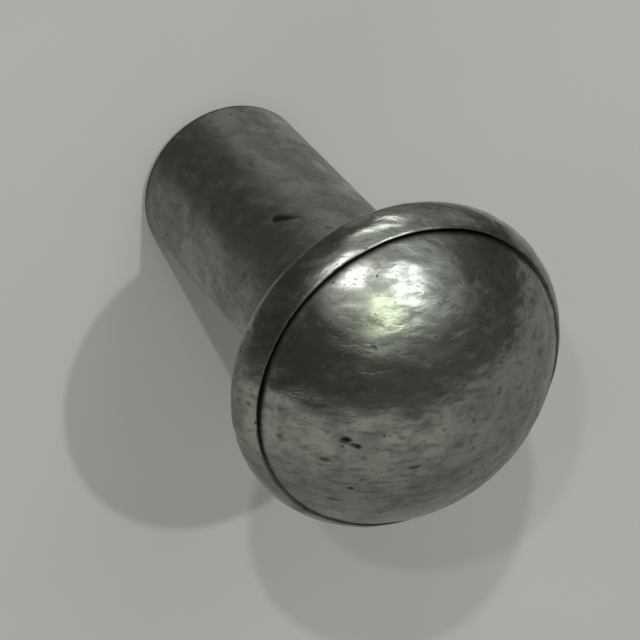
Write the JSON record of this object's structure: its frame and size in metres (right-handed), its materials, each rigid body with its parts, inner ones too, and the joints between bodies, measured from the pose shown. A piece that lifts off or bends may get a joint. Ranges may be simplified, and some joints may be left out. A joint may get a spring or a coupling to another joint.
{
  "type": "solid rivet",
  "caption": "Solid steel rivet with a low domed head, a rounded rim under it and a plain round shank; it passes through drilled sheets and is set by upsetting its end.",
  "frame": {"origin": "centre of the flat end of the shank, on which the rivet stands", "axes": "+Z along the shank towards the domed head; the rivet is round about Z, so +X and +Y are free"},
  "size_m": [0.015, 0.015, 0.0229],
  "materials": {
    "plain_steel": "plain mild steel, satin from tumbling, with fine scratches, small pits and a few dents"
  },
  "bodies": {
    "root": {"rivet": "plain_steel"}
  },
  "joints": []
}
